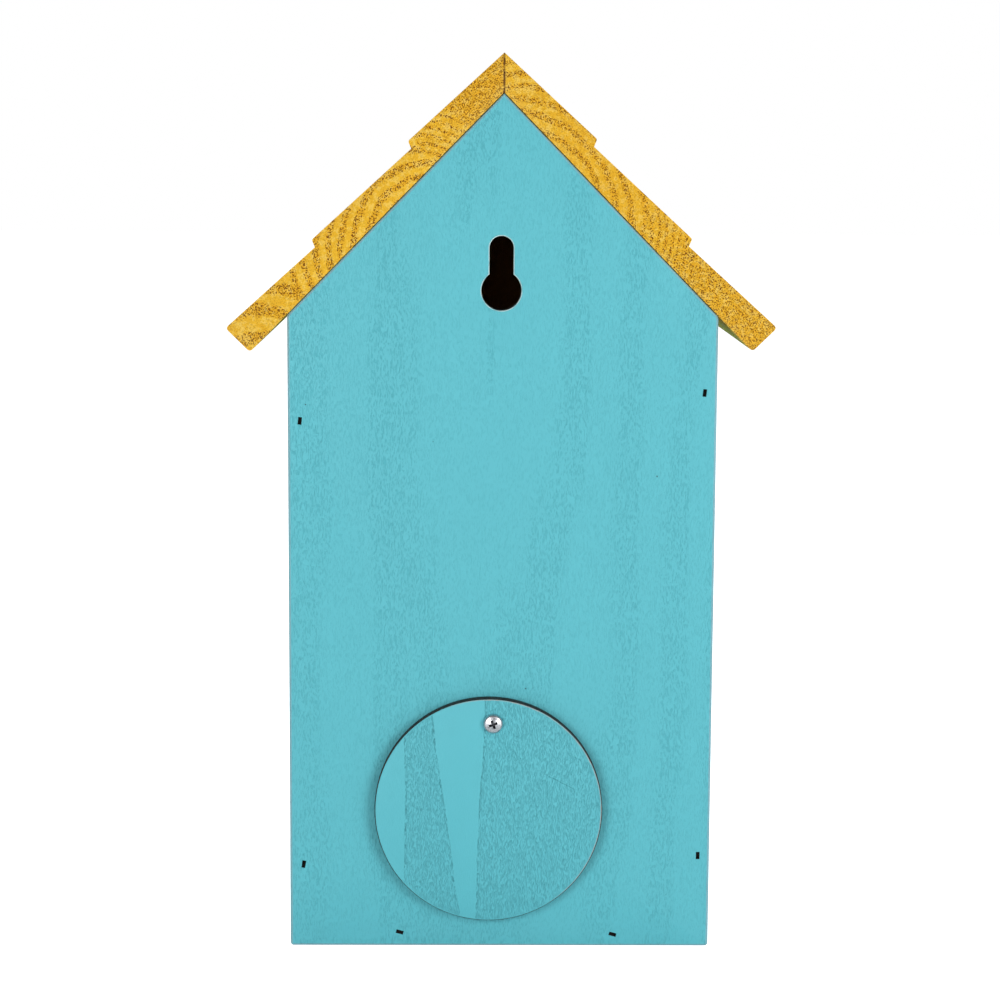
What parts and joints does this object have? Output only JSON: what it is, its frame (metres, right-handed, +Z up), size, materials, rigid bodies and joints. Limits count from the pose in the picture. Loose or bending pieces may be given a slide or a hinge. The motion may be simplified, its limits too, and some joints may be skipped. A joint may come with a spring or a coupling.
{
  "type": "birdhouse",
  "caption": "Gabled wooden nest box with a clapboard-cut roof, an entrance hole and perch in front, and a hanging keyhole and turning clean-out cover on the back.",
  "frame": {"origin": "centre of the underside of the box, on the surface that it stands on", "axes": "+Z up, -Y out of the entrance, +Y out of the back with its keyhole and clean-out cover, +X to the right seen from the front"},
  "size_m": [0.1544, 0.1578, 0.2563],
  "materials": {
    "turquoise_paint": "satin paint on wood",
    "cover_paint": "satin paint on wood, laser-cut rim left dark",
    "yellow_stain": "yellow stain on pine",
    "zinc_steel": "zinc plated",
    "brad_steel": "dulled steel"
  },
  "bodies": {
    "root": {"back_panel": "turquoise_paint", "front_panel": "turquoise_paint", "left_wall": "turquoise_paint", "right_wall": "turquoise_paint", "floor_board": "turquoise_paint", "roof_left": "yellow_stain", "roof_right": "yellow_stain", "perch": "yellow_stain", "cover_screw": "zinc_steel", "back_wall_brads": "brad_steel", "back_floor_brads": "brad_steel", "front_wall_brads": "brad_steel", "front_floor_brads": "brad_steel", "left_floor_brads": "brad_steel", "right_floor_brads": "brad_steel", "roof_left_brads": "brad_steel", "roof_right_brads": "brad_steel"},
    "cover": {"cleanout_cover": "cover_paint"}
  },
  "joints": [
    {"name": "cover_turn", "type": "hinge", "parent": "root", "child": "cover", "pos_m": [0.0022, 0.059, 0.0671], "axis": [0, 1, 0], "continuous": true}
  ]
}
